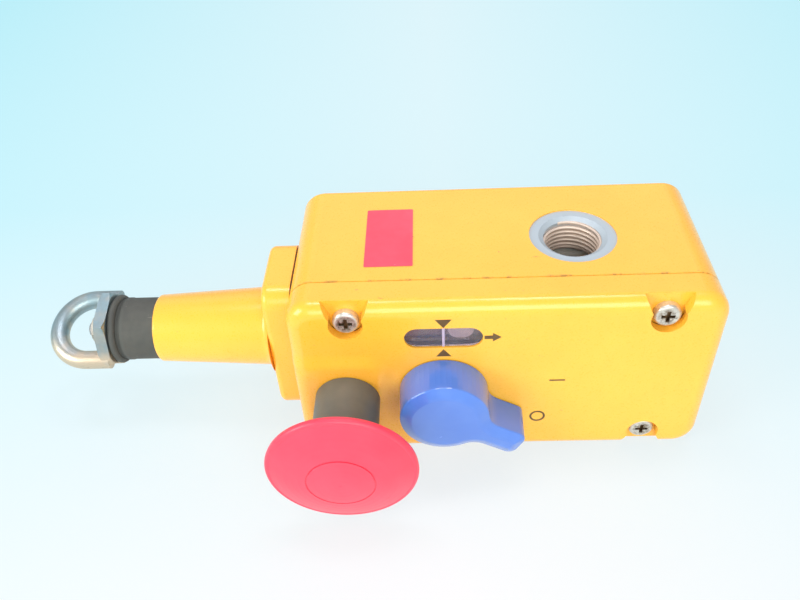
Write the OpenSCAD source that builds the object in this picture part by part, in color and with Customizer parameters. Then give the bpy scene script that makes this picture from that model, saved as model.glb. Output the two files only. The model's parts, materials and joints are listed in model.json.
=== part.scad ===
// Rope pull safety switch with a spring-loaded pull rod, a reset knob and an emergency stop button.
// Frame: X along the rope (the eye at -X), +Z towards the conduit entry, -Y out of the front cover.
// The origin is the centre of the mounting hole pattern on the back face.

/* [Housing] */
// Length of the housing, along the rope
housing_l = 147; // [144:0.5:156]
// Height of the housing, from its plain long side to its conduit side
housing_h = 73.3; // [72:0.1:84]
// Depth of the housing, from the mounting face to the front face
housing_d = 68.8; // [66:0.2:76]
// Depth of the front cover
cover_d = 14; // [13.5:0.25:15]
// Wall of the housing
wall = 4; // [3.5:0.1:4.5]
// Wall of the front cover
cover_wall = 3.5; // [3.2:0.1:4]
// Corner radius of the housing, seen from the front
corner_r = 9; // [7:0.5:12]
// Rounding of the cover's front edges
front_r = 5; // [4:0.5:6]
// Rounding of the edges round the mounting face
back_r = 2; // [1:0.5:3]

/* [Cover screws] */
// Distance of the screws from the short sides
screw_inset_x = 20.5; // [19:0.5:22]
// Distance of the screws from the long sides
screw_inset_z = 8.05; // [7.9:0.05:8.6]
// Radius of the screw's thread
screw_r = 2.5; // [2:0.1:2.6]
// Radius of the screw's pan head
screw_head_r = 4.5; // [4:0.1:4.8]
// Length of the screw under its head
screw_len = 20; // [16:1:24]
// Depth of the screw's pocket below the front face
pocket_d = 4.2; // [4:0.1:4.4]
// Width of the pocket's mouth at the long edge
pocket_w = 17; // [15:0.2:18]

/* [Mounting] */
// Mounting hole spacing along the housing
mount_l = 100; // [96:1:104]
// Mounting hole spacing across the housing
mount_h = 40; // [36:1:44]
// Radius of the tapped mounting holes
mount_r = 2.5; // [2.1:0.1:3]
// Depth of the tapped mounting holes
mount_depth = 10; // [8:0.5:12]

/* [Conduit entry] */
// Position along the housing
conduit_x = 26.4; // [24:0.2:30]
// Distance behind the front face
conduit_depth = 36.4; // [35:0.1:38]
// Radius of the tapped hole
conduit_r = 10.3; // [9:0.1:10.6]
// Radius of the bare spot face round the hole
conduit_face_r = 15.4; // [15:0.1:16]
// Depth of the tapped boss
conduit_len = 14; // [12:0.5:15]

/* [Nose] */
// Distance of the pull axis behind the front face
rod_depth = 32.3; // [31:0.1:34]
// Flange height
flange_h = 58; // [54:0.5:59]
// Flange width, front to back
flange_w = 34; // [32.5:0.5:35.5]
// Flange thickness
flange_t = 10.5; // [10:0.1:13]
// Length of the tapered neck
neck_l = 44.7; // [44:0.1:50]
// Neck radius at the flange
neck_r1 = 15.2; // [15:0.1:16]
// Neck radius at the tip
neck_r2 = 12.95; // [12.9:0.05:14]
// Thickness of the flange gasket
nose_gasket_t = 0.6; // [0.5:0.1:1.5]

/* [Pull rod] */
// Radius of the pull rod
rod_r = 5; // [4.5:0.1:5.2]
// Radius of the rod's threaded end
thread_r = 3; // [2.5:0.1:4]
// Travel of the rod from slack to the end of its pull
travel = 12; // [8:0.5:12]
// Rope eye, radius of the ring's centre line
eye_ring_r = 12.9; // [12.5:0.1:13.5]
// Rope eye, radius of the wire
eye_wire_r = 3.5; // [3:0.1:3.7]
// Rope eye, width across the flats of its base
eye_base_w = 27; // [25:0.5:28]
// Rope eye, thickness of its base
eye_base_t = 4.3; // [4:0.1:5.5]
// Rope eye, length of the ring's straight legs
ring_leg = 6.2; // [5:0.1:7]
// Rope eye, turn of the ring about the rod, in degrees
eye_turn = 22; // [0:1:60]
// Rope eye, turn of its base against the ring, in degrees
eye_base_turn = 23; // [0:1:60]

/* [Boot] */
// Outer radius of the rubber boot
boot_r = 11.95; // [11:0.05:11.95]
// Outer radius of the boot's outer bead
boot_bead_r = 13.3; // [12.6:0.1:14]
// Length of the boot outside the nose
boot_out = 17.3; // [16.5:0.1:22]

/* [Reset knob] */
// Knob centre along the housing, from the emergency stop's centre
knob_offset = 34.4; // [34:0.1:35.5]
// Knob centre across the housing
knob_z = -3.3; // [-4:0.1:-3]
// Knob radius
knob_r = 15.7; // [15:0.1:16.2]
// Knob height
knob_h = 14.7; // [14.6:0.1:20]
// Reach of the knob's lever
lever_l = 31; // [29:0.5:33]
// Half width of the knob's lever
lever_w = 5.6; // [5:0.1:6.4]
// Turn from off to run, in degrees
knob_turn = 31; // [25:1:35]
// Lever angle below the horizontal at off, in degrees
knob_rest = 30; // [25:1:35]
// Radius of the knob's spindle
spindle_r = 4; // [3.5:0.1:4.4]
// Throw of the crank on the spindle
crank_throw = 8; // [7.5:0.1:8.2]

/* [Emergency stop] */
// Button centre along the housing, from its left side
stop_inset = 18.4; // [18:0.1:18.8]
// Button centre across the housing
stop_z = -5.8; // [-6.2:0.1:-5.6]
// Radius of the button's head
stop_r = 25.6; // [24:0.2:27]
// Height of the button's crown above the front face
stop_h = 38.6; // [37.4:0.1:44]
// Stroke of the button
stop_stroke = 4; // [3:0.1:4]
// Radius of the black collar
collar_r = 11.6; // [11.4:0.1:12]
// Height of the boss under the collar
boss_h = 1.2; // [1:0.1:2]
// Reach of the boss to the right of the button's centre
boss_right = 16; // [15.5:0.5:17]
// Reach of the boss above the button's centre
boss_above = 20; // [19:0.5:21]
// Radius of the button's stem
stem_r = 4; // [3.5:0.1:4.2]

/* [Window] */
// Window centre along the housing, from the emergency stop's centre
window_offset = 34.6; // [34:0.1:35.5]
// Window centre below the conduit side
window_inset = 14.25; // [13.8:0.05:14.6]
// Window length
window_l = 26.5; // [24:0.5:28]
// Window height
window_h = 9; // [8:0.2:9.6]

/* [Contacts] */
// Width of one contact block
block_w = 17; // [15:0.5:17.5]
// Height of a contact block
block_h = 40; // [36:0.5:40]
// Distance of the first block's centre along the housing
block_x = 11.5; // [11:0.1:12]
// Rise of the cam per millimetre of rod travel
cam_slope = 0.2; // [0.1:0.02:0.2]

/* [Hidden] */
$fn = 64;
run_gap = 0.05;   // radial clearance of a running fit
fit_gap = 0.02;   // radial clearance of a fixed fit
clear = 0.3;      // clearance between pieces that pass each other
eps = 0.01;

yellow = "#ffc93c";
dark = "#3a3d3e";
steel = "#b9bcbf";
brass = "#c8a85a";
red = "#e0355f";
blue = "#2f6fe0";

front_y = -housing_d;
part_y = front_y + cover_d;
left_x = -housing_l / 2;
screw_x = housing_l / 2 - screw_inset_x;
screw_z = housing_h / 2 - screw_inset_z;
stop_x = left_x + stop_inset;
knob_x = stop_x + knob_offset;
window_x = stop_x + window_offset;
window_z = housing_h / 2 - window_inset;
rod_y = front_y + rod_depth;
inner_l = housing_l - 2 * wall;
inner_h = housing_h - 2 * wall;
inner_r = corner_r - wall;
pillar_r = screw_head_r + 2.1;
pillar_len = 30;

// Pull axis stations, from the wall outwards
flange_x = left_x - nose_gasket_t;
neck_x = flange_x - flange_t;
tip_x = neck_x - neck_l;
boot_pocket = 12;
bush_len = 12;
bush_r = 9;
bush_x = tip_x + boot_pocket;
chamber_x = bush_x + bush_len;
chamber_r = 11;
spigot_r = 14;
spigot_x = left_x + wall + 1;
seat_flange_t = 1.5;
eye_x = tip_x - boot_out;
ring_x = eye_x - eye_base_t - ring_leg;
nut_t = 5;
nut_w = 10;
rod_left_x = eye_x - eye_base_t - nut_t - 1.7;

// Return spring of the rod
spring_wire = 2.2;
spring_r = 8.2;
spring_turns = 5;
seat_t = 2;
seat_x = left_x - 1;
ring_t = 1.2;
ring_groove = 0.8;

// Cam and contacts
block_gap = 1;
block_back = wall + 2;
plunger_r = 2.2;
slack_x = block_x + block_w + block_gap;
cam_drop = 6.3;
cam_half_w = 7;
cam_left_x = block_x - 7.5;
cam_low_x = block_x - 3;
cam_peak_x = (block_x + slack_x) / 2 + travel / 2 - 0.25;
cam_right_x = slack_x + travel + 3;
cam_pull_y = rod_y + cam_drop;
cam_slack_y = cam_pull_y + cam_slope * travel;
cam_peak_y = cam_slack_y - cam_slope * (cam_peak_x - slack_x);
block_y = cam_peak_y + 1.15;
block_d = -block_back - block_y;
plunger_len = block_d / 2;
cam_lift = (plunger_r + clear) * sqrt(1 + cam_slope * cam_slope);
plunger_hole = cam_slack_y + cam_lift + plunger_len + 0.8 - block_y;
post_x = cam_right_x + 1.5;
post_t = 6.5;
rear_bush_r = 7;
rod_right_x = post_x + post_t + travel - 2;
cam_pin_r = 1.5;
notch_w = 8;
notch_d = 2;

// Layers behind the front face, as depths
bush_flange_t = 1.5;
clip_t = 0.8;
spindle_clip_d = cover_wall + bush_flange_t + 0.1;
crank_d = 7;
crank_t = 3;
bar_d = crank_d + crank_t + 1;
bar_t = 3;
bar_z = 1;
bar_h = 8;
bar_right_x = 13;
nose_d = rod_depth - 8.5;
crank_pin_r = 2;
crank_rest = 90 - knob_turn / 2;
guide_half = 5;
guide_screw_r = 1.5;
guide_low_z = bar_z - 8;
guide_high_z = bar_z + bar_h + 8;
guide_boss_r = 3.5;
guide_d = 6.5;

// Trip lever under the button's stem
stem_end_d = 12.3;
tip_r = 2;
tip_d = stem_end_d + clear + tip_r;
finger = 2.5;
stem_nose = 3.7;
pivot_x = stop_x + 15.1;
bar_left_x = pivot_x - 5.5;
pivot_d = 7.5;
pivot_r = 1.5;
hub_r = 3;
ear_t = 3;
hub_low_z = stop_z - 3.8;
hub_high_z = bar_z + bar_h - 1.5;
nut_d = 3;
stop_nut_w = 20;
barrel_r = 8;
barrel_end_d = cover_wall + nut_d + 0.3;
stop_clip_d = barrel_end_d + 0.1;
stop_spring_wire = 1.2;
stop_spring_r = 6.6;
stop_floor_h = 10;
collar_top_h = stop_h - 9;
dish_h = stop_h - 3.8;

// Window and indicator
aperture_d = 1.2;
window_lip = 2.1;
seal_t = 0.8;
lens_t = 2;
indicator_d = 5.5;
indicator_t = 1.5;
indicator_x = window_x + travel / 2;
indicator_left = 19.5;
indicator_right = 6.5;
marker_l = 8.6;
arm_t = 3;

// ---- shared shapes ----

// Depth d behind the front face as a Y coordinate
function at_depth(d) = front_y + d;

module rounded_rect(l, h, r) {
    union() {
        square([l - 2 * r, h], center = true);
        square([l, h - 2 * r], center = true);
        for (x = [-1, 1], y = [-1, 1])
            translate([x * (l / 2 - r), y * (h / 2 - r)]) circle(r = r);
    }
}

module stadium(l, h) {
    union() {
        square([l - h, h], center = true);
        for (x = [-1, 1]) translate([x * (l - h) / 2, 0]) circle(r = h / 2);
    }
}

// Plate of thickness t with corners of radius c and upper edges rounded by e
module soft_plate(l, h, t, c, e) {
    union() {
        linear_extrude(t - e) rounded_rect(l, h, c);
        linear_extrude(t) rounded_rect(l - 2 * e, h - 2 * e, c - e);
        for (s = [-1, 1]) {
            translate([-(l / 2 - c), s * (h / 2 - e), t - e]) rotate([0, 90, 0])
                cylinder(r = e, h = l - 2 * c);
            translate([s * (l / 2 - e), h / 2 - c, t - e]) rotate([90, 0, 0])
                cylinder(r = e, h = h - 2 * c);
        }
        for (x = [-1, 1], y = [-1, 1])
            translate([x * (l / 2 - c), y * (h / 2 - c), t - e])
                rotate_extrude() intersection() {
                    union() {
                        translate([c - e, 0]) circle(r = e);
                        translate([0, -e]) square([c - e, 2 * e]);
                    }
                    translate([0, -e]) square([c, 2 * e]);
                }
    }
}

// Extrusion of an X-Z outline between two depths behind the front face
module between_depths(d0, d1) {
    translate([0, at_depth(d1), 0]) rotate([90, 0, 0]) linear_extrude(d1 - d0) children();
}

// Round bar along Y between two depths
module round_y(x, z, r, d0, d1) {
    translate([x, at_depth(d1), z]) rotate([90, 0, 0]) cylinder(r = r, h = d1 - d0);
}

// Round bar along X on the pull axis
module round_x(r, x0, x1) {
    translate([x0, rod_y, 0]) rotate([0, 90, 0]) cylinder(r = r, h = x1 - x0);
}

// Revolved outline about the pull axis; its second coordinate is X
module turned_x() {
    translate([0, rod_y, 0]) rotate([0, 90, 0]) rotate_extrude() children();
}

// Revolved outline about a Y axis; its second coordinate is the height in front of the cover
module turned_front(x, z) {
    translate([x, front_y, z]) rotate([90, 0, 0]) rotate_extrude() children();
}

// Outline of a link: two discs and the quadrilateral on their common tangents
module link(p, rp, q, rq) {
    d = norm(q - p);
    heading = atan2(q[1] - p[1], q[0] - p[0]);
    lean = acos((rp - rq) / d);
    union() {
        translate(p) circle(r = rp);
        translate(q) circle(r = rq);
        polygon([for (s = [[p, rp, 1], [q, rq, 1], [q, rq, -1], [p, rp, -1]])
            s[0] + s[1] * [cos(heading + s[2] * lean), sin(heading + s[2] * lean)]]);
    }
}

// Open retaining clip on a groove, in its own plane
module clip_shape(outer, inner) {
    difference() {
        circle(r = outer);
        circle(r = inner);
        translate([0, -outer / 2]) square([inner * 1.2, outer], center = true);
    }
}

// Helical spring from z = 0 to z = h, with one closed turn at each end
module coil(r, wire, h, turns) {
    steps = 20;
    sides = 8;
    count = steps * (turns + 2);
    function rise(k) = let (t = k / steps)
        t < 1 ? wire / 2 + wire * t * 0.55
        : t > turns + 1 ? h - wire / 2 - wire * (turns + 2 - t) * 0.55
        : wire * 1.05 + (h - 2.1 * wire) * (t - 1) / turns;
    points = [for (k = [0:count], s = [0:sides - 1]) let (a = 360 * k / steps, b = 360 * s / sides)
        [(r + wire / 2 * cos(b)) * cos(a), (r + wire / 2 * cos(b)) * sin(a), rise(k) + wire / 2 * sin(b)]];
    walls = [for (k = [0:count - 1], s = [0:sides - 1]) let (n = (s + 1) % sides)
        [k * sides + s, (k + 1) * sides + s, (k + 1) * sides + n, k * sides + n]];
    first = [for (s = [0:sides - 1]) s];
    last = [for (s = [sides - 1:-1:0]) count * sides + s];
    polyhedron(points = points, faces = concat(walls, [first], [last]));
}

// ---- casing ----

module screw_places() {
    for (x = [-1, 1], z = [-1, 1]) translate([x * screw_x, 0, z * screw_z]) children();
}

module mount_places() {
    for (x = [-1, 1], z = [-1, 1]) translate([x * mount_l / 2, 0, z * mount_h / 2]) children();
}

nose_screw_y = flange_w / 2 - 6.5;
nose_screw_z = flange_h / 2 - 6.5;
nose_screw_r = 2;
nose_head_r = 3.6;
nose_head_t = 2.6;

module nose_places() {
    for (y = [-1, 1], z = [-1, 1]) translate([0, rod_y + y * nose_screw_y, z * nose_screw_z]) children();
}

pocket_floor = 1.8;
seam = 0.4;
gasket_w = 1.8;
gasket_t = 1.5;

// Sealing path centred in the rim
module gasket_path(w) {
    difference() {
        rounded_rect(housing_l - wall + w, housing_h - wall + w, corner_r - wall / 2 + w / 2);
        rounded_rect(housing_l - wall - w, housing_h - wall - w, corner_r - wall / 2 - w / 2);
    }
}

earth_x = -25;
earth_z = -housing_h / 2 + 12.65;
earth_boss_r = 5;
earth_boss_h = 5;
block_pad_r = 3.6;
block_screw_z = 9;

module housing_base() color(yellow) difference() {
    union() {
        difference() {
            translate([0, part_y, 0]) rotate([-90, 0, 0])
                soft_plate(housing_l, housing_h, housing_d - cover_d, corner_r, back_r);
            between_depths(cover_d - 1, housing_d - wall) rounded_rect(inner_l, inner_h, inner_r);
        }
        intersection() {
            union() {
                screw_places() round_y(0, 0, pillar_r, cover_d, cover_d + pillar_len);
                mount_places() round_y(0, 0, mount_r + 4, housing_d - mount_depth - 2, housing_d - 1);
            }
            between_depths(cover_d, housing_d - 0.5)
                rounded_rect(housing_l - 1, housing_h - 1, corner_r - 0.5);
        }
        translate([conduit_x, at_depth(conduit_depth), housing_h / 2 - conduit_len])
            cylinder(r = conduit_r + 3.7, h = conduit_len - 1);
        for (x = [block_x, slack_x], z = [-1, 1])
            round_y(x, z * block_screw_z, block_pad_r, housing_d - block_back, housing_d - 1);
        round_y(earth_x, earth_z, earth_boss_r, housing_d - wall - earth_boss_h, housing_d - 1);
        translate([post_x, rod_y - rear_bush_r - 3, -rear_bush_r - 3])
            cube([post_t, -rod_y + rear_bush_r + 3 - 1, 2 * rear_bush_r + 6]);
    }
    between_depths(cover_d - 1, cover_d + gasket_t) gasket_path(gasket_w + 0.1);
    screw_places() round_y(0, 0, screw_r + fit_gap, cover_d - 1, pocket_d + screw_len + 2);
    mount_places() round_y(0, 0, mount_r, housing_d - mount_depth, housing_d + 1);
    round_x(spigot_r + run_gap, left_x - 1, left_x + wall + 1);
    nose_places() rotate([0, 90, 0]) translate([0, 0, left_x - 1])
        cylinder(r = nose_screw_r + 0.2, h = wall + 2);
    round_x(rear_bush_r + fit_gap, post_x - 1, post_x + post_t + 1);
    for (x = [block_x, slack_x], z = [-1, 1])
        round_y(x, z * block_screw_z, guide_screw_r + fit_gap, housing_d - block_back - 1, housing_d - 1.5);
    round_y(earth_x, earth_z, screw_r - 0.5 + fit_gap,
        housing_d - wall - earth_boss_h - 1, housing_d - 1.5);
    translate([conduit_x, at_depth(conduit_depth), housing_h / 2]) {
        translate([0, 0, -conduit_len - 1]) cylinder(r = conduit_r, h = conduit_len + 2);
        translate([0, 0, -0.5]) cylinder(r = conduit_face_r, h = 1);
        translate([0, 0, -0.5 - 1.2]) rotate_extrude()
            polygon([[0, 0], [conduit_r, 0], [conduit_r + 1.8, 1.2 + eps], [0, 1.2 + eps]]);
    }
}

// Pocket round a cover screw, flaring to the nearest long edge: towards +Z for s = 1, -Z for s = -1
module pocket_outline(s) {
    r = screw_head_r + 1.3;
    start = r - 1.4;
    mouth = screw_inset_z + 1;
    union() {
        circle(r = r);
        polygon([[start, 0], [pocket_w / 2, s * mouth], [-pocket_w / 2, s * mouth], [-start, 0]]);
    }
}

// Floor under a pocket's mouth, inside the cover
module pocket_backing(s) {
    half = pocket_w / 2 + 1.2;
    reach = screw_inset_z - wall + 0.5;
    translate([-half, min(0, s * reach)]) square([2 * half, reach]);
}

// Raised seat of the emergency stop, in the cover's lower left corner and flush with its sides
module stop_boss() {
    boss_l = stop_x + boss_right - left_x;
    boss_w = stop_z + boss_above + housing_h / 2;
    translate([left_x + boss_l / 2, part_y, -housing_h / 2 + boss_w / 2]) rotate([90, 0, 0])
        soft_plate(boss_l, boss_w, cover_d + boss_h, corner_r, front_r);
}

module front_cover() color(yellow) difference() {
    union() {
        difference() {
            union() {
                translate([0, part_y, 0]) rotate([90, 0, 0])
                    soft_plate(housing_l, housing_h, cover_d, corner_r, front_r);
                stop_boss();
            }
            between_depths(cover_wall, cover_d + 1) rounded_rect(inner_l, inner_h, inner_r);
        }
        intersection() {
            screw_places() round_y(0, 0, pillar_r, cover_wall - 1, cover_d);
            between_depths(front_r, cover_d) rounded_rect(housing_l - 1, housing_h - 1, corner_r - 0.5);
        }
        screw_places() round_y(0, 0, screw_head_r + 1.3, cover_wall - 1, front_r + 1);
        for (s = [-1, 1], x = [-1, 1])
            between_depths(cover_wall - 1, pocket_d + pocket_floor) translate([x * screw_x, s * screw_z])
                pocket_backing(s);
        for (z = [guide_low_z, guide_high_z]) round_y(0, z, guide_boss_r, cover_wall - 1, guide_d);
        for (z = [hub_low_z - ear_t - 0.2, hub_high_z + 0.2])
            translate([0, 0, z]) {
                translate([pivot_x - hub_r - 0.5, at_depth(cover_wall - 1), 0])
                    cube([2 * hub_r + 1, pivot_d - cover_wall + 1, ear_t]);
                translate([pivot_x, at_depth(pivot_d), 0]) cylinder(r = hub_r, h = ear_t);
            }
    }
    for (s = [-1, 1], x = [-1, 1])
        between_depths(-boss_h - 1, pocket_d) translate([x * screw_x, s * screw_z]) pocket_outline(s);
    screw_places() round_y(0, 0, screw_r + 0.25, -1, cover_d + 1);
    between_depths(cover_d - seam, cover_d + 1) difference() {
        rounded_rect(housing_l + 2, housing_h + 2, corner_r + 1);
        rounded_rect(housing_l - 2 * seam, housing_h - 2 * seam, corner_r - seam);
    }
    translate([window_x, 0, window_z]) {
        between_depths(-1, cover_wall + 1) stadium(window_l, window_h);
        between_depths(aperture_d, cover_wall + 1)
            stadium(window_l + 2 * window_lip + 0.3, window_h + 2 * window_lip + 0.3);
    }
    round_y(knob_x, knob_z, spindle_r + 3 + fit_gap, -1, cover_wall + 1);
    round_y(stop_x, stop_z, barrel_r + fit_gap, -boss_h - 1, cover_wall + 1);
    for (z = [guide_low_z, guide_high_z])
        round_y(0, z, guide_screw_r + fit_gap, cover_wall - 1.2, guide_d + 1);
    translate([pivot_x, at_depth(pivot_d), hub_low_z - ear_t - 1])
        cylinder(r = pivot_r + fit_gap, h = hub_high_z - hub_low_z + 2 * ear_t + 2);
}

module cover_gasket() color(dark) between_depths(cover_d, cover_d + gasket_t) gasket_path(gasket_w);

// Pan head screw along Y, its head outwards; d is the depth of the seat
module pan_screw(r, head_r, head_t, len, d) {
    translate([0, at_depth(d), 0]) rotate([90, 0, 0]) rotate_extrude()
        polygon(concat([[0, -len], [r - 0.5, -len], [r, -len + 0.5], [r, 0], [head_r, 0]],
            [for (a = [0:15:90]) [head_r - 1.2 + 1.2 * cos(a), head_t - 1.2 + 1.2 * sin(a)]],
            [[0, head_t]]));
}

// Cross recess for a screw's head; h is the height of the head's top above depth d
module cross_recess(w, d, h, depth) {
    translate([0, at_depth(d) - h, 0]) for (a = [0, 90])
        rotate([0, a, 0]) translate([-w / 2, -1, -w / 7]) cube([w, depth + 1, w / 3.5]);
}

module cover_screws() color(steel) screw_places() difference() {
    pan_screw(screw_r, screw_head_r, 3, screw_len, pocket_d);
    cross_recess(4.6, pocket_d, 3, 1.6);
}

module window_lens() color("#dfe8ea", 0.5) translate([window_x, 0, window_z]) {
    between_depths(0.7, aperture_d + seal_t + eps) stadium(window_l - 0.3, window_h - 0.3);
    between_depths(aperture_d + seal_t, aperture_d + seal_t + lens_t)
        stadium(window_l + 2 * window_lip, window_h + 2 * window_lip);
    between_depths(aperture_d + seal_t + lens_t - eps, indicator_d - clear)
        square([0.9, window_h - 1], center = true);
}

module window_seal() color(dark) translate([window_x, 0, window_z])
    between_depths(aperture_d, aperture_d + seal_t) difference() {
        stadium(window_l + 2 * window_lip, window_h + 2 * window_lip);
        stadium(window_l, window_h);
    }

// ---- nose ----

neck_fillet = 3;

module nose_casting() color(yellow) difference() {
    union() {
        translate([flange_x, rod_y, 0]) rotate([0, -90, 0])
            soft_plate(flange_h, flange_w, flange_t, 7, 2.5);
        turned_x() {
            slope = (neck_r1 - neck_r2) / neck_l;
            foot = neck_r1 - slope * neck_fillet;
            polygon(concat([[0, tip_x]],
                [for (a = [0:15:90]) [neck_r2 - 1 + sin(a), tip_x + 1 - cos(a)]],
                [[foot, neck_x - neck_fillet]],
                [for (a = [15:15:90])
                    [foot + neck_fillet * (1 - cos(a)), neck_x - neck_fillet * (1 - sin(a))]],
                [[0, neck_x + eps]]));
        }
        round_x(spigot_r, flange_x - 1, spigot_x);
    }
    round_x(rod_r + 1, tip_x - 1, spigot_x + 1);
    round_x(boot_r + run_gap, tip_x - 1, bush_x);
    round_x(bush_r + fit_gap, bush_x - 1, chamber_x + 1);
    round_x(chamber_r, chamber_x, spigot_x + 1);
    nose_places() rotate([0, 90, 0]) translate([0, 0, flange_x - flange_t + 3])
        cylinder(r = nose_screw_r + fit_gap, h = flange_t);
}

module nose_gasket() color(dark) translate([flange_x, rod_y, 0]) rotate([0, 90, 0])
    linear_extrude(nose_gasket_t) difference() {
        rounded_rect(flange_h - 2, flange_w - 2, 6);
        circle(r = spigot_r + 0.2);
        for (y = [-1, 1], z = [-1, 1])
            translate([z * nose_screw_z, y * nose_screw_y]) circle(r = nose_screw_r + 0.3);
    }

module nose_screws() color(steel) nose_places() rotate([0, 90, 0])
    translate([0, 0, left_x + wall]) difference() {
        union() {
            translate([0, 0, -wall - nose_gasket_t - 6])
                cylinder(r = nose_screw_r, h = wall + nose_gasket_t + 6.5);
            cylinder(r = nose_head_r, h = nose_head_t);
        }
        translate([0, 0, nose_head_t - 1.3]) cylinder(r = 1.7, h = 2, $fn = 6);
    }

module rod_bush() color("#e8e2cf") difference() {
    union() {
        round_x(bush_r, bush_x, chamber_x + seat_flange_t);
        round_x(chamber_r - 0.2, chamber_x, chamber_x + seat_flange_t);
    }
    round_x(rod_r + run_gap, bush_x - 1, chamber_x + seat_flange_t + 1);
}

module rear_bush() color("#e8e2cf") difference() {
    union() {
        round_x(rear_bush_r, post_x, post_x + post_t);
        round_x(rear_bush_r + 1.5, post_x + post_t, post_x + post_t + 1.2);
    }
    round_x(rod_r + run_gap, post_x - 1, post_x + post_t + 2);
}

boot_wall = 2.4;
boot_end = 4;

module rod_boot() color(dark) turned_x() {
    bead = 2.8;
    groove = 1.3;
    ridge = 2.2;
    x1 = eye_x + 0.05;
    x2 = x1 + bead;
    x3 = x2 + groove;
    x4 = x3 + ridge;
    inner = boot_r - boot_wall;
    soft = 1.4;
    polygon(concat(
        [[rod_r + clear, x1]],
        [for (a = [0:15:90]) [boot_bead_r - soft + soft * sin(a), x1 + soft - soft * cos(a)]],
        [for (a = [0:15:90]) [boot_bead_r - soft + soft * cos(a), x2 - soft + soft * sin(a)]],
        [[boot_r - 0.45, x2], [boot_r - 0.45, x3], [boot_r + 0.2, x3 + 0.4], [boot_r + 0.2, x4 - 0.4],
            [boot_r, x4], [boot_r, bush_x - 0.2], [inner, bush_x - 0.2], [inner, x1 + boot_end],
            [rod_r + clear, x1 + boot_end]]));
}

// ---- pull rod and what rides on it ----

module pull_rod() color(steel) difference() {
    turned_x() polygon([
        [0, rod_left_x], [thread_r - 0.5, rod_left_x], [thread_r, rod_left_x + 0.5], [thread_r, eye_x],
        [rod_r, eye_x], [rod_r, seat_x + seat_t + ring_groove - 0.1],
        [rod_r - 0.9, seat_x + seat_t + ring_groove - 0.1],
        [rod_r - 0.9, seat_x + seat_t + ring_groove + ring_t + 0.1],
        [rod_r, seat_x + seat_t + ring_groove + ring_t + 0.1],
        [rod_r, rod_right_x - 1], [rod_r - 1, rod_right_x], [0, rod_right_x]]);
    translate([cam_left_x + 4, rod_y, -rod_r - 1]) cylinder(r = cam_pin_r + fit_gap, h = 2 * rod_r + 2);
}

// Ring with straight legs on a hexagonal base
module eye_nut() color(steel) difference() {
    union() {
        intersection() {
            translate([eye_x - eye_base_t, rod_y, 0])
                rotate([eye_turn + eye_base_turn, 0, 0]) rotate([0, 90, 0])
                    cylinder(r = eye_base_w / sqrt(3), h = eye_base_t, $fn = 6);
            turned_x() {
                r = eye_base_w / sqrt(3) + 0.1;
                c = 1.5;
                polygon([[0, eye_x - eye_base_t], [r - c, eye_x - eye_base_t],
                    [r, eye_x - eye_base_t + c * 0.6], [r, eye_x - c * 0.6], [r - c, eye_x], [0, eye_x]]);
            }
        }
        translate([ring_x, rod_y, 0]) rotate([eye_turn, 0, 0]) {
            rotate([0, 0, 90]) rotate_extrude(angle = 180)
                translate([eye_ring_r, 0]) circle(r = eye_wire_r);
            for (s = [-1, 1]) translate([0, s * eye_ring_r, 0]) rotate([0, 90, 0])
                cylinder(r = eye_wire_r, h = ring_leg + eye_base_t - 1);
        }
    }
    round_x(thread_r + fit_gap, eye_x - eye_base_t - 1, eye_x + 1);
}

module eye_lock_nut() color(steel) difference() {
    intersection() {
        translate([eye_x - eye_base_t - nut_t, rod_y, 0]) rotate([10, 0, 0]) rotate([0, 90, 0])
            cylinder(r = nut_w / sqrt(3), h = nut_t, $fn = 6);
        turned_x() {
            r = nut_w / sqrt(3) + 0.1;
            x = eye_x - eye_base_t;
            polygon([[0, x - nut_t], [r - 1, x - nut_t], [r, x - nut_t + 0.6], [r, x], [0, x]]);
        }
    }
    round_x(thread_r + fit_gap, eye_x - eye_base_t - nut_t - 1, eye_x);
}

module tension_spring() color(steel)
    translate([chamber_x + seat_flange_t, rod_y, 0]) rotate([0, 90, 0])
        coil(spring_r, spring_wire, seat_x - chamber_x - seat_flange_t, spring_turns);

module spring_seat() color(brass) difference() {
    round_x(chamber_r - 0.8, seat_x, seat_x + seat_t);
    round_x(rod_r + fit_gap, seat_x - 1, seat_x + seat_t + 1);
}

module seat_ring() color(steel) translate([seat_x + seat_t, rod_y, 0]) rotate([0, 90, 0]) union() {
    translate([0, 0, ring_groove]) linear_extrude(ring_t) clip_shape(rod_r + 2.6, rod_r - 0.85);
    linear_extrude(ring_groove) difference() {
        circle(r = rod_r + 2);
        circle(r = rod_r + fit_gap);
    }
}

// Roof-shaped cam: its two ramps work the two plungers
module cam_slider() color("#ece9df") difference() {
    union() {
        translate([0, 0, -cam_half_w]) linear_extrude(2 * cam_half_w) polygon([
            [cam_left_x, rod_y - cam_half_w], [cam_right_x, rod_y - cam_half_w],
            [cam_right_x, cam_slack_y - cam_slope * (cam_right_x - slack_x)],
            [cam_peak_x, cam_peak_y],
            [cam_peak_x, cam_pull_y + cam_slope * (cam_peak_x - block_x)],
            [cam_low_x, cam_pull_y + cam_slope * (cam_low_x - block_x)],
            [cam_left_x, cam_pull_y + cam_slope * (cam_low_x - block_x)]]);
    }
    round_x(rod_r + fit_gap, cam_left_x - 1, cam_right_x + 1);
    translate([cam_left_x + 4, rod_y, -cam_half_w - 1])
        cylinder(r = cam_pin_r + fit_gap, h = 2 * cam_half_w + 2);
    translate([bar_right_x - bar_t / 2 - notch_w / 2 - 2, rod_y - cam_half_w - 1, -cam_half_w - 1])
        cube([notch_w, notch_d - 0.5 + 1, 2 * cam_half_w + 2]);
}

module cam_pin() color(steel)
    translate([cam_left_x + 4, rod_y, -cam_half_w]) cylinder(r = cam_pin_r, h = 2 * cam_half_w);

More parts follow.
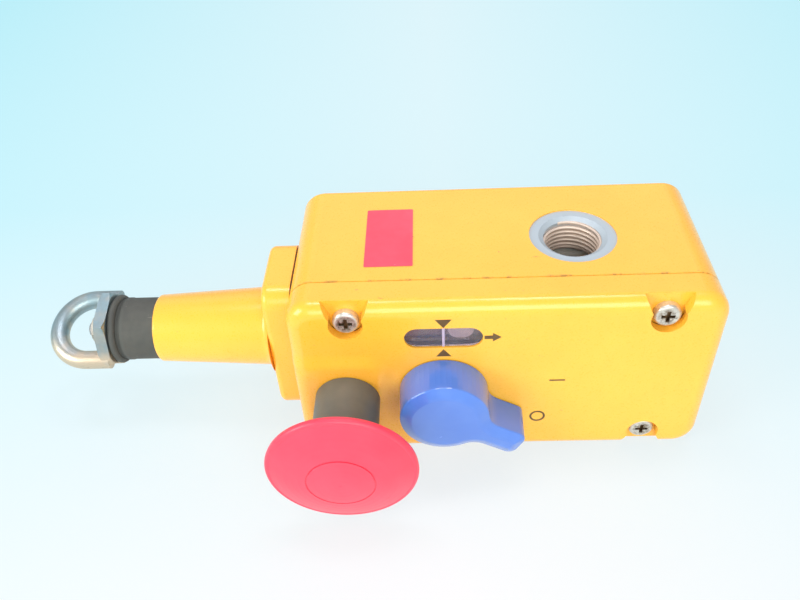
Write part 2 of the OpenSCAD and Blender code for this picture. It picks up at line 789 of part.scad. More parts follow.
module tension_indicator() color(dark) difference() {
    union() {
        round_x(rod_r + 3, indicator_x - 4, indicator_x + 4);
        translate([indicator_x - arm_t / 2, rod_y - 3.5, rod_r]) cube([arm_t, 7, window_z - rod_r + 3.5]);
        translate([indicator_x - arm_t / 2, at_depth(indicator_d + indicator_t) - eps, window_z - 3.5])
            cube([arm_t, rod_depth - indicator_d - indicator_t, 7]);
        translate([indicator_x - indicator_left, at_depth(indicator_d), window_z - 2])
            cube([indicator_left + indicator_right, indicator_t, 4]);
    }
    round_x(rod_r + fit_gap, indicator_x - 5, indicator_x + 5);
}

// White band that shows the rod's position in the window
module indicator_marker() color("white") translate([indicator_x, 0, window_z]) difference() {
    between_depths(indicator_d - 0.2, indicator_d + indicator_t - fit_gap) stadium(marker_l, 7.2);
    between_depths(indicator_d - fit_gap, indicator_d + indicator_t)
        square([marker_l + 1, 4 + 2 * fit_gap], center = true);
}

// ---- contacts ----

shelf_d = 5;
terminal_z = block_h / 2 - 4.6;
terminal_x = block_w / 4;
terminal_r = 1.5;

module block_places() {
    for (x = [block_x, slack_x]) translate([x, 0, 0]) children();
}

module contact_blocks() color("#f0efe8") block_places() difference() {
    translate([-block_w / 2, 0, 0]) rotate([90, 0, 90]) linear_extrude(block_w) polygon([
        [-block_back, -block_h / 2], [block_y + shelf_d, -block_h / 2],
        [block_y + shelf_d, -block_h / 2 + 8.5], [block_y, -block_h / 2 + 8.5],
        [block_y, block_h / 2 - 8.5], [block_y + shelf_d, block_h / 2 - 8.5],
        [block_y + shelf_d, block_h / 2], [-block_back, block_h / 2]]);
    translate([0, block_y - 1, 0]) rotate([-90, 0, 0]) cylinder(r = plunger_r + run_gap, h = plunger_hole + 1);
    for (x = [-1, 1], z = [-1, 1])
        translate([x * terminal_x, block_y + shelf_d - 1, z * terminal_z])
            rotate([-90, 0, 0]) cylinder(r = terminal_r + fit_gap, h = 8);
    for (z = [-1, 1]) translate([0, block_y - 1, z * block_screw_z]) rotate([-90, 0, 0]) {
        cylinder(r = guide_screw_r + 0.15, h = block_d + 2);
        cylinder(r = 3.2, h = 3);
    }
    translate([-block_w / 4, block_y - 1, -1.2]) cube([block_w / 2, 1.6, 2.4]);
}

// Plunger with a round tip that follows a ramp at height y
module plunger(x, y) {
    translate([x, y + cam_lift, 0]) rotate([-90, 0, 0]) union() {
        cylinder(r = plunger_r, h = plunger_len);
        sphere(r = plunger_r);
    }
}

module pull_plunger() color("#d94f3a") plunger(block_x, cam_pull_y);

module slack_plunger() color("#3f8f57") plunger(slack_x, cam_slack_y);

module block_screws() color(steel) block_places() for (z = [-1, 1])
    translate([0, 0, z * block_screw_z])
        pan_screw(guide_screw_r, 2.9, 2, block_d + block_back - wall - 1.5, housing_d + block_y + 2);

module terminal_screws() color(brass) block_places() for (x = [-1, 1], z = [-1, 1])
    translate([x * terminal_x, 0, z * terminal_z]) difference() {
        pan_screw(terminal_r, 2.9, 2, 6, housing_d + block_y + shelf_d);
        translate([-3.5, block_y + shelf_d - 3, -0.4]) cube([7, 2, 0.8]);
    }

module earth_screw() color(brass) translate([earth_x, 0, earth_z]) difference() {
    union() {
        pan_screw(screw_r - 0.5, 3.8, 2.4, 6, housing_d - wall - earth_boss_h - 1);
        round_y(0, 0, earth_boss_r, housing_d - wall - earth_boss_h - 1, housing_d - wall - earth_boss_h);
    }
    cross_recess(4, housing_d - wall - earth_boss_h - 1, 2.4, 1.3);
}

// ---- reset knob and latch ----

lever_fillet = 7;
lever_tip_r = 3.5;

// Points of an arc about c
function arc_points(c, r, a0, a1, n) = [for (k = [0:n])
    let (a = a0 + (a1 - a0) * k / n) c + r * [cos(a), sin(a)]];

// Outline of knob and lever, drawn in by an inset
function knob_outline(inset) = let (
        fx = sqrt(pow(knob_r + lever_fillet, 2) - pow(lever_w + lever_fillet, 2)),
        fy = lever_w + lever_fillet,
        a = atan2(fy, fx),
        r = max(lever_tip_r - inset, 0.1),
        tip = [lever_l - inset - r, lever_w - inset - r])
    concat(
        arc_points(tip, r, 0, 90, 6),
        arc_points([fx, fy], lever_fillet + inset, 270, 180 + a, 7),
        arc_points([0, 0], knob_r - inset, a, 360 - a, 42),
        arc_points([fx, -fy], lever_fillet + inset, 180 - a, 90, 7),
        arc_points([tip[0], -tip[1]], r, -90, 0, 6));

// Loft through the inset outlines: steep side, small edge, shallow band up to the flat top
module knob_body() {
    levels = [[0, 0], [0.25, knob_h - 2.2], [0.32, knob_h - 1.95], [0.52, knob_h - 1.7],
        [0.85, knob_h - 1.52], [1.5, knob_h - 1.18], [2.2, knob_h - 0.8], [2.9, knob_h - 0.45],
        [3.6, knob_h - 0.17], [4.3, knob_h]];
    rings = [for (lv = levels) [for (p = knob_outline(lv[0])) [p[0], p[1], lv[1]]]];
    n = len(rings[0]);
    m = len(rings);
    points = concat([for (ring = rings) for (p = ring) p], [[0, 0, 0], [0, 0, knob_h]]);
    walls = [for (k = [0:m - 2], s = [0:n - 1])
        let (t = (s + 1) % n) [k * n + s, (k + 1) * n + s, (k + 1) * n + t, k * n + t]];
    floor_fan = [for (s = [0:n - 1]) [m * n, s, (s + 1) % n]];
    top_fan = [for (s = [0:n - 1]) [m * n + 1, (m - 1) * n + (s + 1) % n, (m - 1) * n + s]];
    polyhedron(points = points, faces = concat(walls, floor_fan, top_fan));
}

knob_gap = 0.5;
spindle_top = 14;
flat_depth = 1;

module reset_knob() color(blue) difference() {
    translate([knob_x, front_y - knob_gap, knob_z]) rotate([90, 0, 0]) rotate([0, 0, -knob_rest]) knob_body();
    round_y(knob_x, knob_z, spindle_r + fit_gap, -spindle_top - fit_gap, 1);
}

module spindle_flat(r) {
    intersection() {
        circle(r = r);
        translate([0, -flat_depth]) square(2 * r, center = true);
    }
}

module knob_spindle() color(steel) translate([knob_x, 0, knob_z]) difference() {
    union() {
        round_y(0, 0, spindle_r, -spindle_top, crank_d);
        between_depths(crank_d - eps, crank_d + crank_t) spindle_flat(spindle_r);
    }
    between_depths(spindle_clip_d, spindle_clip_d + clip_t + 0.1) difference() {
        circle(r = spindle_r + 1);
        circle(r = spindle_r - 0.8);
    }
    between_depths(0.8, 2.1) difference() {
        circle(r = spindle_r + 1);
        circle(r = spindle_r - 0.9);
    }
}

module knob_bush() color(brass) translate([knob_x, 0, knob_z]) difference() {
    union() {
        round_y(0, 0, spindle_r + 3, 0, cover_wall + bush_flange_t);
        round_y(0, 0, spindle_r + 5.5, cover_wall, cover_wall + bush_flange_t);
    }
    round_y(0, 0, spindle_r + run_gap, -1, cover_wall + bush_flange_t + 1);
}

module knob_seal() color(dark) translate([knob_x, at_depth(1.45), knob_z]) rotate([90, 0, 0])
    rotate_extrude() translate([spindle_r - 0.45, 0]) circle(r = 0.44);

module spindle_clip() color(steel) translate([knob_x, 0, knob_z])
    between_depths(spindle_clip_d + 0.05, spindle_clip_d + 0.05 + clip_t)
        clip_shape(spindle_r + 2, spindle_r - 0.78);

module reset_crank() color(steel) translate([knob_x, 0, knob_z]) difference() {
    pin = crank_throw * [cos(crank_rest), sin(crank_rest)];
    union() {
        between_depths(crank_d, crank_d + crank_t) link([0, 0], spindle_r + 2.2, pin, crank_pin_r + 1.2);
        round_y(pin[0], pin[1], crank_pin_r, crank_d + 1, bar_d + bar_t + 0.4);
    }
    between_depths(crank_d - 1, crank_d + crank_t + 1) spindle_flat(spindle_r + fit_gap);
}

trip_x = pivot_x;
trip_w = 3;
trip_sweep = 4.5;
bar_throw = 2 * crank_throw * sin(knob_turn / 2);

module latch_bar() color(steel) difference() {
    union() {
        between_depths(bar_d, bar_d + bar_t)
            translate([bar_left_x, bar_z]) square([bar_right_x - bar_left_x, bar_h]);
        between_depths(bar_d, nose_d) translate([bar_right_x - bar_t, bar_z]) square([bar_t, bar_h]);
    }
    between_depths(bar_d - 1, bar_d + bar_t + 1) {
        translate([knob_x + bar_throw / 2 - crank_pin_r - 0.15,
            knob_z + crank_throw * cos(knob_turn / 2) - crank_pin_r - 0.4])
            square([2 * crank_pin_r + 0.3, 2 * crank_pin_r + 1.2]);
        translate([trip_x - trip_w / 2 - 0.5, bar_z + 1.5])
            square([trip_w + trip_sweep + bar_throw, bar_h - 3]);
    }
}

module latch_guide() color("#d8d4c4") difference() {
    union() {
        between_depths(guide_d, guide_d + 2) translate([-guide_half, guide_low_z - guide_boss_r])
            square([2 * guide_half, guide_high_z - guide_low_z + 2 * guide_boss_r]);
        between_depths(guide_d, bar_d + bar_t + 3) translate([-guide_half, bar_z - 2.5])
            square([2 * guide_half, bar_h + 5]);
    }
    between_depths(bar_d - 0.15, bar_d + bar_t + 0.15) translate([-guide_half - 1, bar_z - 0.15])
        square([2 * guide_half + 2, bar_h + 0.3]);
    for (z = [guide_low_z, guide_high_z]) round_y(0, z, guide_screw_r + 0.15, guide_d - 1, guide_d + 3);
}

// Small screws that enter the cover from inside
module guide_screws() color(steel) for (z = [guide_low_z, guide_high_z]) union() {
    round_y(0, z, guide_screw_r, cover_wall - 1, guide_d + 2);
    round_y(0, z, 2.8, guide_d + 2, guide_d + 3.8);
}

// ---- emergency stop ----

// Height of the button's dome at radius r
crease_r = 24;
crease_h = stop_h - 5.5;
dome_r = (crease_r * crease_r + pow(stop_h - crease_h, 2)) / (2 * (stop_h - crease_h));
function dome(r) = stop_h - dome_r + sqrt(dome_r * dome_r - r * r);

module stop_button() color(red) turned_front(stop_x, stop_z) {
    rim_h = stop_h - 8.4;
    edge = 1.3;
    inner_r = stop_r - 3;
    hub = 5.4;
    groove_r = 11.4;
    groove = 0.5;
    difference() {
        polygon(concat(
            [[0, rim_h], [stop_r - 0.8, rim_h], [stop_r - 0.15, rim_h + 0.65]],
            [for (a = [0:15:75]) [stop_r - edge + edge * cos(a), crease_h - edge + edge * sin(a)]],
            [for (k = [0:5]) let (r = crease_r - (crease_r - groove_r - groove / 2) * k / 5) [r, dome(r)]],
            [[groove_r + groove / 2, dome(groove_r) - 0.3], [groove_r - groove / 2, dome(groove_r) - 0.3]],
            [for (k = [0:5]) let (r = (groove_r - groove / 2) * (1 - k / 5)) [r, dome(r)]]));
        difference() {
            polygon([[0, rim_h - 1], [inner_r, rim_h - 1], [inner_r, rim_h + 1.1], [18, rim_h + 2.8],
                [14, dish_h], [0, dish_h]]);
            translate([0, dish_h - 11]) square([hub, 12]);
        }
        translate([0, rim_h - 20]) square([stem_r + fit_gap, dish_h - rim_h + 19.5]);
    }
    difference() {
        translate([0, dish_h - 10.5]) square([hub, 10.5 + eps]);
        translate([0, rim_h - 20]) square([stem_r + fit_gap, dish_h - rim_h + 19.5]);
    }
}

module stop_stem() color(steel) translate([stop_x, 0, stop_z]) difference() {
    translate([0, front_y, 0]) rotate([90, 0, 0]) rotate_extrude() polygon([
        [0, -stem_end_d], [stem_r / 2 - 0.3, -stem_end_d], [stem_r / 2, -stem_end_d + 0.3],
        [stem_r / 2, -stem_end_d + stem_nose], [stem_r, -stem_end_d + stem_nose + 0.3],
        [stem_r, dish_h - 0.6], [0, dish_h - 0.6]]);
    between_depths(stop_clip_d, stop_clip_d + clip_t + 0.1) difference() {
        circle(r = stem_r + 1);
        circle(r = stem_r - 0.8);
    }
}

module stop_collar() color(dark) turned_front(stop_x, stop_z) {
    bore = stem_r + run_gap;
    chamber = stop_spring_r + stop_spring_wire / 2 + 1.2;
    polygon([[bore, -barrel_end_d], [barrel_r, -barrel_end_d], [barrel_r, boss_h], [collar_r - 0.4, boss_h],
        [collar_r, boss_h + 0.4], [collar_r, collar_top_h - 0.8], [collar_r - 0.8, collar_top_h],
        [chamber, collar_top_h], [chamber, stop_floor_h], [bore, stop_floor_h]]);
}

module stop_nut() color(steel) translate([stop_x, at_depth(cover_wall + nut_d), stop_z])
    rotate([90, 0, 0]) difference() {
        rotate([0, 0, 30]) cylinder(r = stop_nut_w / sqrt(3), h = nut_d, $fn = 6);
        translate([0, 0, -1]) cylinder(r = barrel_r + fit_gap, h = nut_d + 2);
    }

module stop_spring() color(steel)
    translate([stop_x, front_y - stop_floor_h, stop_z]) rotate([90, 0, 0])
        coil(stop_spring_r, stop_spring_wire, dish_h - stop_floor_h, 6);

module stop_clip() color(steel) translate([stop_x, 0, stop_z])
    between_depths(stop_clip_d + 0.05, stop_clip_d + 0.05 + clip_t) clip_shape(stem_r + 1.8, stem_r - 0.78);

// Plan outlines (X, depth) drawn as solids between two heights
module flat_z(z0, z1) {
    translate([0, front_y, z0]) linear_extrude(z1 - z0) children();
}

module trip_lever() color("#c9a24a") difference() {
    pivot = [pivot_x, pivot_d];
    tip = [stop_x, tip_d];
    elbow = tip + [0, finger];
    union() {
        flat_z(hub_low_z, hub_high_z) translate(pivot) circle(r = hub_r);
        flat_z(hub_low_z + 0.8, hub_low_z + 6.8) {
            link(pivot + [-1, 2], hub_r - 0.8, elbow, tip_r);
            link(elbow, tip_r, tip, tip_r);
        }
        flat_z(bar_z + 2, bar_z + bar_h - 2)
            translate([trip_x - trip_w / 2, pivot_d]) square([trip_w, bar_d + bar_t + 1 - pivot_d]);
    }
    flat_z(hub_low_z - 1, hub_high_z + 1) translate(pivot) circle(r = pivot_r + run_gap);
}

module trip_pin() color(steel)
    flat_z(hub_low_z - ear_t - 0.2, hub_high_z + ear_t + 0.2)
        translate([pivot_x, pivot_d]) circle(r = pivot_r);

housing_base();
front_cover();
cover_gasket();
cover_screws();
window_lens();
window_seal();
nose_casting();
nose_gasket();
nose_screws();
rod_bush();
rear_bush();
rod_boot();
pull_rod();
eye_nut();
eye_lock_nut();
tension_spring();
spring_seat();
seat_ring();
cam_slider();
cam_pin();
tension_indicator();
indicator_marker();
contact_blocks();
pull_plunger();
slack_plunger();
block_screws();
terminal_screws();
earth_screw();
reset_knob();
knob_spindle();
knob_bush();
knob_seal();
spindle_clip();
reset_crank();
latch_bar();
latch_guide();
guide_screws();
stop_button();
stop_stem();
stop_collar();
stop_nut();
stop_spring();
stop_clip();
trip_lever();
trip_pin();
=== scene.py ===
"""Rope pull safety switch: materials, printed marks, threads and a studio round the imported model."""
import json
import math

import bmesh
import bpy
import numpy as np
from mathutils import Matrix, Vector


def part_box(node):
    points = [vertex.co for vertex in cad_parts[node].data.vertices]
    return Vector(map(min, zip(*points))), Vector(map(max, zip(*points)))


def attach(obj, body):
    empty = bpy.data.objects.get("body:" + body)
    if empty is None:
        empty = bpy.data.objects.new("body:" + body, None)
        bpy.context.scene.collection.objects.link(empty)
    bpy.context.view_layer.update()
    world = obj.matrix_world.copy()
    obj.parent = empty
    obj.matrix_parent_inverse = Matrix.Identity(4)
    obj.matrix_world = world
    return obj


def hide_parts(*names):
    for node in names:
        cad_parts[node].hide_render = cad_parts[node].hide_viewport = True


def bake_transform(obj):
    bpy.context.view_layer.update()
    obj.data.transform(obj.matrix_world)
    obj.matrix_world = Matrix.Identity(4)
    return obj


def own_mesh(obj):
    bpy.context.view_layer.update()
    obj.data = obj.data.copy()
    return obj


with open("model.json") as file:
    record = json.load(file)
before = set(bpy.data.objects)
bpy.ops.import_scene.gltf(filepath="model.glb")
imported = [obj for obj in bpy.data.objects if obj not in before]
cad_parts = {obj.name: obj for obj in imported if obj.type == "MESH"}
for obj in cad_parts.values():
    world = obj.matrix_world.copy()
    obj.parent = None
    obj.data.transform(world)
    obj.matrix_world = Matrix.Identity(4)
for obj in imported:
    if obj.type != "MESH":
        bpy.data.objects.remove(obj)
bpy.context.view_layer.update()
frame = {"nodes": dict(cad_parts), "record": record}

nodes = frame["nodes"]
scene = bpy.context.scene
MM = 0.001
TAU = 2 * math.pi
X, Y, Z = 0, 1, 2
LOW, HIGH = 0, 1


# ---- places, taken from the frame ----

def corner(node, side, axis):
    """Coordinate of one side of a node's box."""
    return float(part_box(node)[side][axis])


def middle(node, axis):
    """Centre of a node's box along one axis."""
    return (corner(node, LOW, axis) + corner(node, HIGH, axis)) / 2


SPINDLE_PROUD = 14 * MM     # the knob's spindle stands this far out of the cover
SPINDLE_R = 4 * MM
SCREW_HEAD_R = 4.5 * MM

floor_z, top_z = corner("housing_base", LOW, Z), corner("housing_base", HIGH, Z)
left_x, seam_y = corner("housing_base", LOW, X), corner("housing_base", LOW, Y)
front_y = corner("knob_spindle", LOW, Y) + SPINDLE_PROUD
knob_x = corner("knob_spindle", HIGH, X) - SPINDLE_R
knob_z = middle("knob_spindle", Z)
stop_x, stop_z = middle("stop_nut", X), middle("stop_nut", Z)
window_x, window_z = middle("window_lens", X), middle("window_lens", Z)
screw_x = corner("cover_screws", HIGH, X) - SCREW_HEAD_R
screw_y = corner("cover_screws", LOW, Y)
screw_z = corner("cover_screws", HIGH, Z) - SCREW_HEAD_R
rod_y, rod_z = middle("rod_bush", Y), middle("rod_bush", Z)
conduit = next(m for m in frame["record"]["mounts"] if m["name"] == "conduit_entry")
conduit_x, conduit_y = conduit["pos_m"][X], conduit["pos_m"][Y]
conduit_r = conduit["dims"]["r_mm"] * MM


# ---- shader helpers ----

MIX_FACTOR, MIX_FIRST, MIX_SECOND, MIX_COLOUR = 0, 6, 7, 2    # a Mix node's sockets for colours


def srgb(r, g, b):
    """Linear colour from 0-255 display values."""
    def linear(c):
        c /= 255
        return c / 12.92 if c <= 0.04045 else ((c + 0.055) / 1.055) ** 2.4
    return (linear(r), linear(g), linear(b), 1.0)


def put(tree, socket, value):
    """Links a socket to another node's output, or sets its value."""
    if isinstance(value, bpy.types.NodeSocket):
        tree.links.new(value, socket)
    else:
        socket.default_value = value


def add(tree, kind, inputs=None, **settings):
    """Adds a shader node, sets its properties and fills or links its inputs."""
    node = tree.nodes.new("ShaderNode" + kind)
    for key, value in settings.items():
        setattr(node, key, value)
    for key, value in (inputs or {}).items():
        put(tree, node.inputs[key], value)
    return node


def maths(tree, operation, *values):
    """Output of a Math node."""
    return add(tree, "Math", dict(enumerate(values)), operation=operation).outputs[0]


def plus(tree, a, b):
    """Sum of two values."""
    return maths(tree, "ADD", a, b)


def minus(tree, a, b):
    """What is left of a after b."""
    return maths(tree, "SUBTRACT", a, b)


def times(tree, a, b):
    """Product of two values."""
    return maths(tree, "MULTIPLY", a, b)


def distance(tree, a, b):
    """Length of a flat step, a one way and b the other: the root of a a + b b."""
    return maths(tree, "SQRT", plus(tree, times(tree, a, a), times(tree, b, b)))


def ramp(tree, value, low, high, out_low=0.0, out_high=1.0):
    """Value mapped from low..high to out_low..out_high and clamped."""
    fields = {"Value": value, "From Min": low, "From Max": high, "To Min": out_low, "To Max": out_high}
    return add(tree, "MapRange", fields, clamp=True).outputs[0]


def mixed(tree, factor, first, second):
    """Colour mixed from the first to the second."""
    node = add(tree, "Mix", data_type="RGBA")
    for socket, value in ((MIX_FACTOR, factor), (MIX_FIRST, first), (MIX_SECOND, second)):
        put(tree, node.inputs[socket], value)
    return node.outputs[MIX_COLOUR]


def on_object(tree):
    """Place on the object: the vector, then its x, y and z."""
    place = add(tree, "TexCoord").outputs["Object"]
    return (place, *add(tree, "SeparateXYZ", {"Vector": place}).outputs)


def noise(tree, place, size, detail, roughness=0.5):
    """Cloudy noise: size is its number of lumps per metre, detail its number of finer layers."""
    fields = {"Vector": place, "Scale": size, "Detail": detail, "Roughness": roughness}
    return add(tree, "TexNoise", fields).outputs[0]


def new_group(name, inputs, outputs):
    """Empty node group with named sockets; returns the tree, its given values and its results."""
    tree = bpy.data.node_groups.new(name, "ShaderNodeTree")
    kinds = {"value": "NodeSocketFloat", "colour": "NodeSocketColor"}
    for direction, sockets in (("INPUT", inputs), ("OUTPUT", outputs)):
        for label, kind in sockets.items():
            tree.interface.new_socket(label, in_out=direction, socket_type=kinds[kind])
    return tree, tree.nodes.new("NodeGroupInput").outputs, tree.nodes.new("NodeGroupOutput").inputs


def make_clouds():
    """Soft change of tint over the surface: 0.7 of a large noise and 0.3 of one six times finer."""
    tree, given, result = new_group("cloudy_tint",
        {"Colour": "colour", "Shade": "colour", "Size": "value", "Amount": "value"},
        {"Colour": "colour", "Mask": "value"})
    place = add(tree, "TexCoord").outputs["Object"]
    large = noise(tree, place, given["Size"], detail=3.0)
    small = noise(tree, place, times(tree, given["Size"], 6.0), detail=4.0)
    mask = ramp(tree, plus(tree, times(tree, large, 0.7), times(tree, small, 0.3)), 0.38, 0.66)
    factor = times(tree, mask, given["Amount"])
    put(tree, result["Colour"], mixed(tree, factor, given["Colour"], given["Shade"]))
    put(tree, result["Mask"], mask)
    return tree


def make_grain():
    """Fine relief: rounded lumps of one size, with a quarter as much of a roughness four times finer."""
    tree, given, result = new_group("fine_grain", {"Size": "value"}, {"Height": "value", "Change": "value"})
    place = add(tree, "TexCoord").outputs["Object"]
    lumps = noise(tree, place, given["Size"], detail=1.0)
    dust = noise(tree, place, times(tree, given["Size"], 4.0), detail=3.0)
    put(tree, result["Height"], plus(tree, lumps, times(tree, dust, 0.25)))
    put(tree, result["Change"], ramp(tree, dust, 0.3, 0.7, -1.0, 1.0))
    return tree


def make_scuffs():
    """Sparse small scuffs: the peaks of a turned and stretched noise, kept where a coarser one is high."""
    tree, given, result = new_group("small_scuffs", {"Size": "value", "Amount": "value"}, {"Mask": "value"})
    place = add(tree, "TexCoord").outputs["Object"]
    turned = add(tree, "Mapping", {"Vector": place, "Rotation": (0.3, 0.5, 0.7), "Scale": (1.0, 2.6, 1.6)})
    cells = noise(tree, turned.outputs[0], given["Size"], detail=5.0, roughness=0.65)
    coarse = noise(tree, place, times(tree, given["Size"], 0.16), detail=2.0)
    spots = times(tree, ramp(tree, cells, 0.665, 0.70), ramp(tree, coarse, 0.52, 0.62))
    put(tree, result["Mask"], times(tree, spots, given["Amount"]))
    return tree


CLOUDS, GRAIN, SCUFFS = make_clouds(), make_grain(), make_scuffs()


def effect(tree, group, **inputs):
    """Places a shared effect in a material; returns its results."""
    node = tree.nodes.new("ShaderNodeGroup")
    node.node_tree = group
    for key, value in inputs.items():
        put(tree, node.inputs[key], value)
    return node.outputs


def clouded(tree, colour, shade, size, amount):
    """Colour that drifts towards a shade in clouds."""
    return effect(tree, CLOUDS, Colour=colour, Shade=shade, Size=size, Amount=amount)["Colour"]


def scuffed(tree, tint, colour, size, amount):
    """Tint with sparse scuffs of another colour."""
    return mixed(tree, effect(tree, SCUFFS, Size=size, Amount=amount)["Mask"], tint, colour)


def start_material(name, **sockets):
    """New material with a Principled shader; returns material, tree and the shader's inputs."""
    material = bpy.data.materials.new(name)
    material.use_nodes = True
    tree = material.node_tree
    shader = tree.nodes["Principled BSDF"].inputs
    for key, value in sockets.items():
        shader[key.replace("_", " ")].default_value = value
    return material, tree, shader


def finish_surface(tree, shader, colour, rough, change, height, depth):
    """Links a colour, a roughness that changes a little over the surface, and a relief of a depth."""
    change_share = 0.05
    put(tree, shader["Base Color"], colour)
    put(tree, shader["Roughness"], plus(tree, times(tree, change, change_share), rough))
    bump = add(tree, "Bump", {"Height": height, "Strength": 1.0, "Distance": depth})
    put(tree, shader["Normal"], bump.outputs[0])


def grained_surface(tree, shader, colour, rough, grain, depth):
    """Links a colour, a roughness and a grain of a size and depth."""
    fine = effect(tree, GRAIN, Size=grain)
    finish_surface(tree, shader, colour, rough, fine["Change"], fine["Height"], depth)


def plain_finish(name, colour, shade, rough, grain=900.0, depth=0.02 * MM, amount=0.6, size=40.0,
        scuff=None, **sockets):
    """Moulded, cast or plated surface: tint clouds, grain and sparse scuffs of a given colour."""
    material, tree, shader = start_material(name, **sockets)
    tint = clouded(tree, colour, shade, size, amount)
    if scuff:
        tint = scuffed(tree, tint, scuff, size=220.0, amount=0.7)
    grained_surface(tree, shader, tint, rough, grain, depth)
    return material


def metal_finish(name, colour, shade, rough, scuff=None):
    """Plated or turned metal with dull patches."""
    return plain_finish(name, colour, shade, rough, grain=1500.0, depth=0.01 * MM, amount=0.7, size=90.0,
        scuff=scuff, Metallic=0.9)


# ---- materials ----

YELLOW, YELLOW_DEEP = srgb(252, 187, 62), srgb(248, 174, 46)
ENAMEL_COAT = 0.35
ENTRY_FACE_R = 15.38 * MM    # bare machined face round the conduit entry
ENTRY_SUNK = 0.2 * MM        # that face lies at least this far under the top
ENTRY_DEPTH = 14.5 * MM      # and the bare bore ends this far under it


def seam_dirt(tree, place, depth):
    """Mask of the broken line of grime beside the cover's seam, and of sparse specks."""
    away = maths(tree, "ABSOLUTE", minus(tree, depth, seam_y))
    beside = ramp(tree, away, 0.2 * MM, 0.9 * MM, 1.0, 0.0)
    broken = ramp(tree, noise(tree, place, size=260.0, detail=4.0, roughness=0.7), 0.50, 0.64)
    cells = add(tree, "TexVoronoi", {"Vector": place, "Scale": 62.0, "Randomness": 1.0})
    speck = ramp(tree, cells.outputs["Distance"], 0.014, 0.026, 0.9, 0.0)
    return maths(tree, "MAXIMUM", times(tree, times(tree, beside, broken), 0.75), speck)


def bare_entry(tree, x, y, z):
    """Mask of the machined metal at the conduit: near its axis, under the top and above the bore's end."""
    radius = distance(tree, minus(tree, x, conduit_x), minus(tree, y, conduit_y))
    near = maths(tree, "LESS_THAN", radius, ENTRY_FACE_R)
    sunk = maths(tree, "LESS_THAN", z, top_z - ENTRY_SUNK)
    high = maths(tree, "GREATER_THAN", z, top_z - ENTRY_DEPTH)
    return times(tree, near, times(tree, sunk, high))


def turning_marks(tree, place):
    """Fine rings round the conduit's axis, as a lathe leaves them."""
    centred = add(tree, "Mapping", {"Vector": place, "Location": (-conduit_x, -conduit_y, 0)}).outputs[0]
    return add(tree, "TexWave", {"Vector": centred, "Scale": 1400.0, "Distortion": 0.6, "Detail": 1.0},
        wave_type="RINGS", rings_direction="Z").outputs["Fac"]


def casting_paint(name, with_entry):
    """Glossy enamel on a casting, with grime at the seam and tiny chips; a conduit entry stays bare metal."""
    material, tree, shader = start_material(name, Coat_Weight=ENAMEL_COAT, Coat_Roughness=0.12)
    place, x, y, z = on_object(tree)
    tint = clouded(tree, YELLOW, YELLOW_DEEP, size=22.0, amount=0.5)
    tint = scuffed(tree, tint, srgb(150, 104, 60), size=330.0, amount=0.75)
    tint = mixed(tree, seam_dirt(tree, place, y), tint, srgb(158, 112, 50))
    fine = effect(tree, GRAIN, Size=420.0)
    height, rough = fine["Height"], 0.3
    if with_entry:
        metal = bare_entry(tree, x, y, z)
        mouth = ramp(tree, z, top_z - 5 * MM, top_z - 2 * MM)
        tint = mixed(tree, metal, tint, mixed(tree, mouth, srgb(206, 184, 168), srgb(178, 190, 198)))
        grain_left = minus(tree, 1.0, times(tree, metal, 0.85))
        turned = times(tree, turning_marks(tree, place), times(tree, metal, 0.12))
        height = plus(tree, times(tree, height, grain_left), turned)
        rough = plus(tree, times(tree, metal, 0.2), rough)
        put(tree, shader["Metallic"], times(tree, metal, 0.35))
        put(tree, shader["Coat Weight"], times(tree, minus(tree, 1.0, metal), ENAMEL_COAT))
    finish_surface(tree, shader, tint, rough, fine["Change"], height, 0.03 * MM)
    return material


def screw_material():
    """Zinc-plated heads of the cover screws, with the recess darkened brown by painted shade and grime, and
    dark brown patches round it.
    """
    material, tree, shader = start_material("screw_head", Metallic=0.7)
    place, x, y, z = on_object(tree)
    aside = minus(tree, maths(tree, "ABSOLUTE", x), screw_x)
    above = minus(tree, maths(tree, "ABSOLUTE", z), screw_z)
    radius = distance(tree, aside, above)
    # painted shade with grime: the recess, deeper than the head's top and near its middle, is darkened brown
    deep = ramp(tree, y, screw_y + 0.25 * MM, screw_y + 0.6 * MM)
    recess_shade_and_grime = times(tree, deep, ramp(tree, radius, 2.9 * MM, 3.1 * MM, 1.0, 0.0))
    patches = ramp(tree, noise(tree, place, size=620.0, detail=5.0, roughness=0.7), 0.43, 0.58)
    smear = times(tree, patches, ramp(tree, radius, 2.7 * MM, 3.6 * MM, 0.85, 0.12))
    tint = clouded(tree, srgb(226, 224, 216), srgb(176, 166, 148), size=160.0, amount=0.6)
    colour = mixed(tree, maths(tree, "MAXIMUM", recess_shade_and_grime, smear), tint, srgb(110, 88, 62))
    grained_surface(tree, shader, colour, rough=0.32, grain=1500.0, depth=0.03 * MM)
    return material


def eye_material():
    """Galvanised eye with dull blotches and dark pits; its colour is bluish above and browner below, painted
    reflections of the pale surroundings above it and of the brownish surroundings below it.
    """
    material, tree, shader = start_material("eye_steel", Metallic=0.85)
    place, _, _, z = on_object(tree)
    # painted reflection: the metal under the rod's axis is tinted brownish and the metal above it bluish
    below = ramp(tree, minus(tree, z, rod_z), -2.2 * MM, 1.2 * MM, 1.0, 0.0)
    blotch = ramp(tree, noise(tree, place, size=150.0, detail=4.0), 0.35, 0.65, -0.3, 0.3)
    warm_reflection = ramp(tree, plus(tree, below, blotch), 0.0, 1.0)
    bluish = clouded(tree, srgb(154, 178, 186), srgb(150, 154, 152), size=90.0, amount=0.7)
    colour = mixed(tree, warm_reflection, bluish, srgb(214, 196, 172))
    colour = scuffed(tree, colour, srgb(112, 98, 82), size=330.0, amount=0.6)
    grained_surface(tree, shader, colour, rough=0.4, grain=1200.0, depth=0.03 * MM)
    return material


